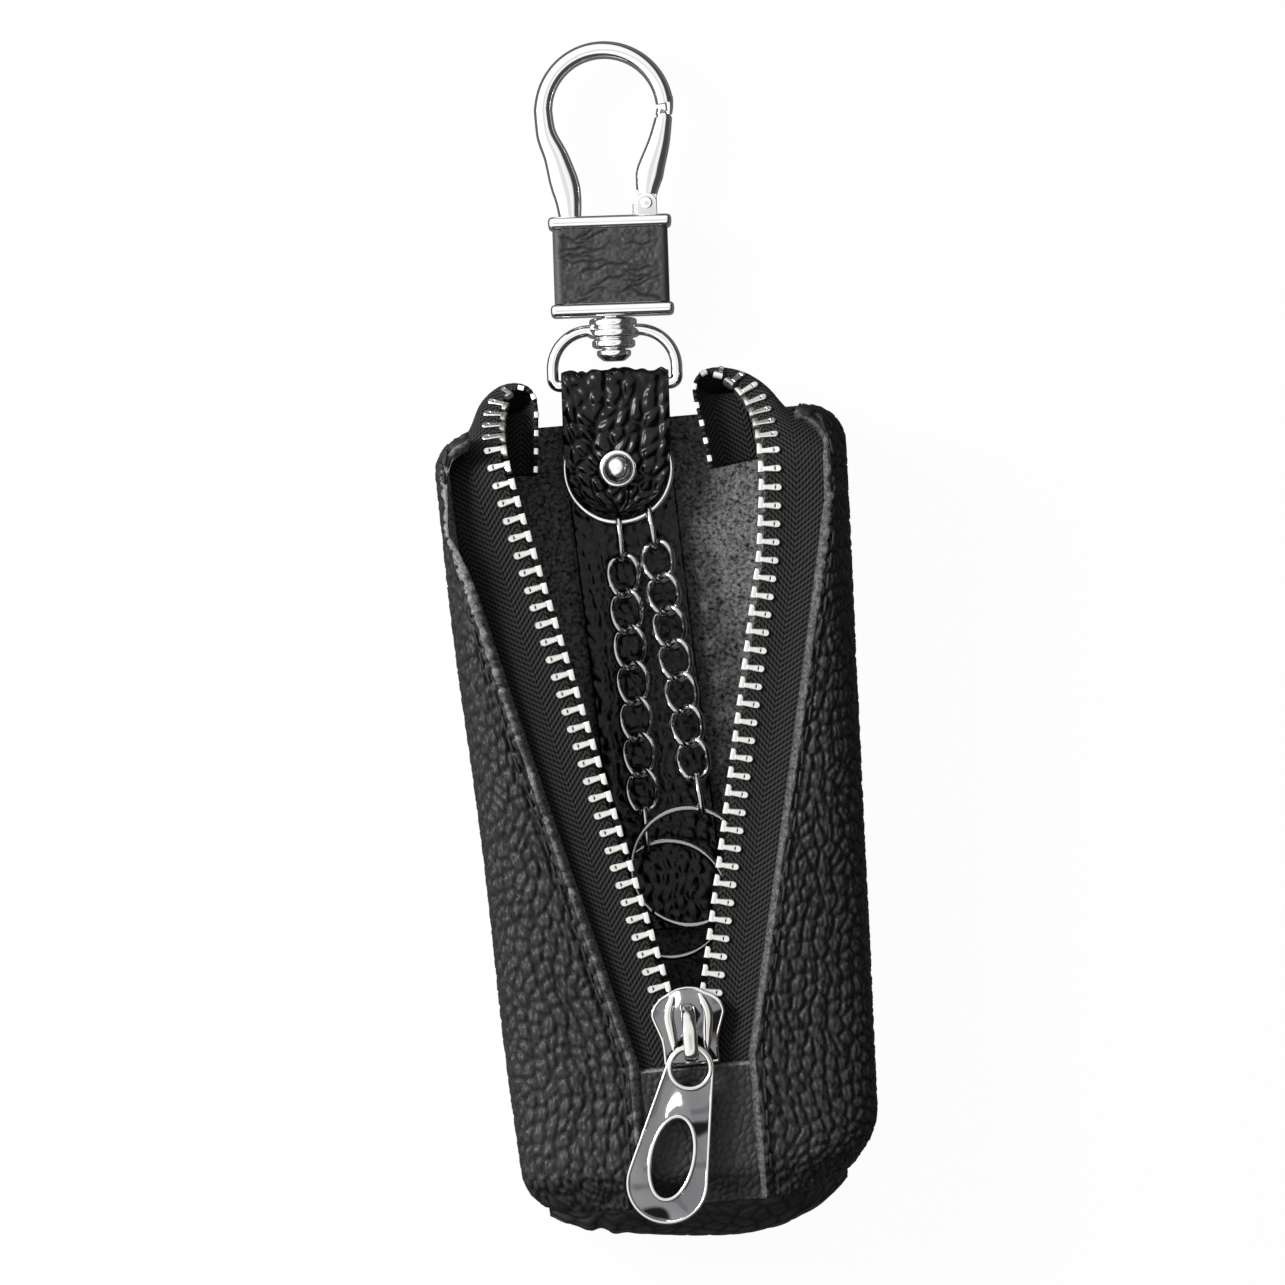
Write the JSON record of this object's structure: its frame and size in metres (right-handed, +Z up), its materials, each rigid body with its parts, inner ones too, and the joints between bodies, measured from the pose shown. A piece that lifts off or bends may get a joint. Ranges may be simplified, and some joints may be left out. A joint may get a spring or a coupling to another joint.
{
  "type": "zip key case",
  "caption": "Black leather key case with a curved zip mouth, chains and key rings inside, and a swivelling belt hook on a leather strap.",
  "frame": {"origin": "on the outer face of the back panel, on which the case lies, half way along the pouch and on its middle line", "axes": "X across the pouch, Y along it towards the hook, Z up out of the zip side"},
  "size_m": [0.0556, 0.1604, 0.0238],
  "materials": {
    "pebbled_leather": "pebbled grain",
    "strap_leather": "fine grain",
    "grey_leather": "fine creased grain",
    "zip_tape": "woven twill",
    "nickel": "bright nickel plate",
    "chrome": "polished chrome plate",
    "steel_wire": "drawn wire",
    "gunmetal": "dark bright plate"
  },
  "bodies": {
    "pouch": {"back_panel": "pebbled_leather", "side_panel_left": "pebbled_leather", "side_panel_right": "pebbled_leather", "bottom_panel": "pebbled_leather", "zip_end_panel": "pebbled_leather", "bottom_stop": "nickel", "strap": "strap_leather", "strap_tail": "strap_leather", "rivet_base": "chrome", "ball_stud": "chrome"},
    "stringer_left": {"zip_tape_left": "zip_tape", "zip_teeth_left": "nickel"},
    "stringer_right": {"zip_tape_right": "zip_tape", "zip_teeth_right": "nickel"},
    "slider": {"slider_body": "nickel", "slider_bail": "nickel"},
    "pull_tab": {"pull_tab": "nickel"},
    "d_ring": {"d_ring": "chrome"},
    "hook": {"swivel_post": "chrome", "hook_frame": "chrome", "hook_band": "grey_leather", "hook_bow": "chrome", "gate_pin": "chrome", "gate_spring": "steel_wire"},
    "hook_gate": {"hook_gate": "chrome"},
    "wire_ring": {"wire_ring": "steel_wire"},
    "chain_left_upper": {"chain_left_upper": "gunmetal"},
    "chain_left_middle": {"chain_left_middle": "gunmetal"},
    "chain_left_lower": {"chain_left_lower": "gunmetal"},
    "key_ring_left": {"key_ring_left": "steel_wire"},
    "chain_right_upper": {"chain_right_upper": "gunmetal"},
    "chain_right_middle": {"chain_right_middle": "gunmetal"},
    "chain_right_lower": {"chain_right_lower": "gunmetal"},
    "key_ring_right": {"key_ring_right": "steel_wire"}
  },
  "joints": [
    {"name": "slider_travel", "type": "slide", "parent": "pouch", "child": "slider", "axis": [0, 1, 0], "range_m": [0, 0.074]},
    {"name": "stringer_left_close", "type": "hinge", "parent": "pouch", "child": "stringer_left", "pos_m": [-0.0015, -0.0306, 0.0185], "axis": [0, 0, 1], "range_deg": [-11.3, 0]},
    {"name": "stringer_right_close", "type": "hinge", "parent": "pouch", "child": "stringer_right", "pos_m": [0.0015, -0.0306, 0.0185], "axis": [0, 0, 1], "range_deg": [0, 11.3]},
    {"name": "tab_flip", "type": "hinge", "parent": "slider", "child": "pull_tab", "pos_m": [0.00045, -0.0294, 0.02215], "axis": [-1, 0, 0], "range_deg": [0, 135]},
    {"name": "d_ring_swing", "type": "hinge", "parent": "pouch", "child": "d_ring", "pos_m": [-0.00251, 0.05908, 0.005], "axis": [0.9986, -0.0523, 0], "range_deg": [-75, 25]},
    {"name": "hook_swivel", "type": "hinge", "parent": "d_ring", "child": "hook", "pos_m": [-0.00221, 0.06478, 0.005], "axis": [0.0523, 0.9986, 0], "continuous": true},
    {"name": "gate_open", "type": "hinge", "parent": "hook", "child": "hook_gate", "pos_m": [0.00375, 0.08292, 0.005], "axis": [0, 0, 1], "range_deg": [0, 28], "stiffness_Nm_per_rad": 0.01, "springref_deg": -20.05},
    {"name": "wire_ring_turn", "type": "hinge", "parent": "pouch", "child": "wire_ring", "pos_m": [-0.0031, 0.0478, 0.005], "axis": [0, 0, 1], "range_deg": [-4, 4]},
    {"name": "chain_left_upper_sway", "type": "hinge", "parent": "wire_ring", "child": "chain_left_upper", "pos_m": [-0.00359, 0.04074, 0.005], "axis": [0, 0, 1], "range_deg": [-4, 0]},
    {"name": "chain_left_middle_sway", "type": "hinge", "parent": "chain_left_upper", "child": "chain_left_middle", "pos_m": [-0.00356, 0.02628, 0.0052], "axis": [0, 0, 1], "range_deg": [-4, 0]},
    {"name": "chain_left_lower_sway", "type": "hinge", "parent": "chain_left_middle", "child": "chain_left_lower", "pos_m": [-0.00352, 0.01182, 0.0054], "axis": [0, 0, 1], "range_deg": [-4, 0]},
    {"name": "key_ring_left_turn", "type": "hinge", "parent": "chain_left_lower", "child": "key_ring_left", "pos_m": [-0.00348, -0.00264, 0.0056], "axis": [0, 0, 1], "range_deg": [-6, 6]},
    {"name": "chain_right_upper_sway", "type": "hinge", "parent": "wire_ring", "child": "chain_right_upper", "pos_m": [0.00055, 0.04173, 0.005], "axis": [0, 0, 1], "range_deg": [0, 4]},
    {"name": "chain_right_middle_sway", "type": "hinge", "parent": "chain_right_upper", "child": "chain_right_middle", "pos_m": [0.00176, 0.02834, 0.00643], "axis": [0, 0, 1], "range_deg": [0, 4]},
    {"name": "chain_right_lower_sway", "type": "hinge", "parent": "chain_right_middle", "child": "chain_right_lower", "pos_m": [0.00297, 0.01495, 0.00787], "axis": [0, 0, 1], "range_deg": [0, 4]},
    {"name": "key_ring_right_turn", "type": "hinge", "parent": "chain_right_lower", "child": "key_ring_right", "pos_m": [0.00418, 0.00156, 0.0093], "axis": [0, 0, 1], "range_deg": [-6, 6]}
  ],
  "couplings": [
    {"joint": "stringer_left_close", "follows": "slider_travel", "rad_per_m": -2.6416},
    {"joint": "stringer_right_close", "follows": "slider_travel", "rad_per_m": 2.6416}
  ]
}
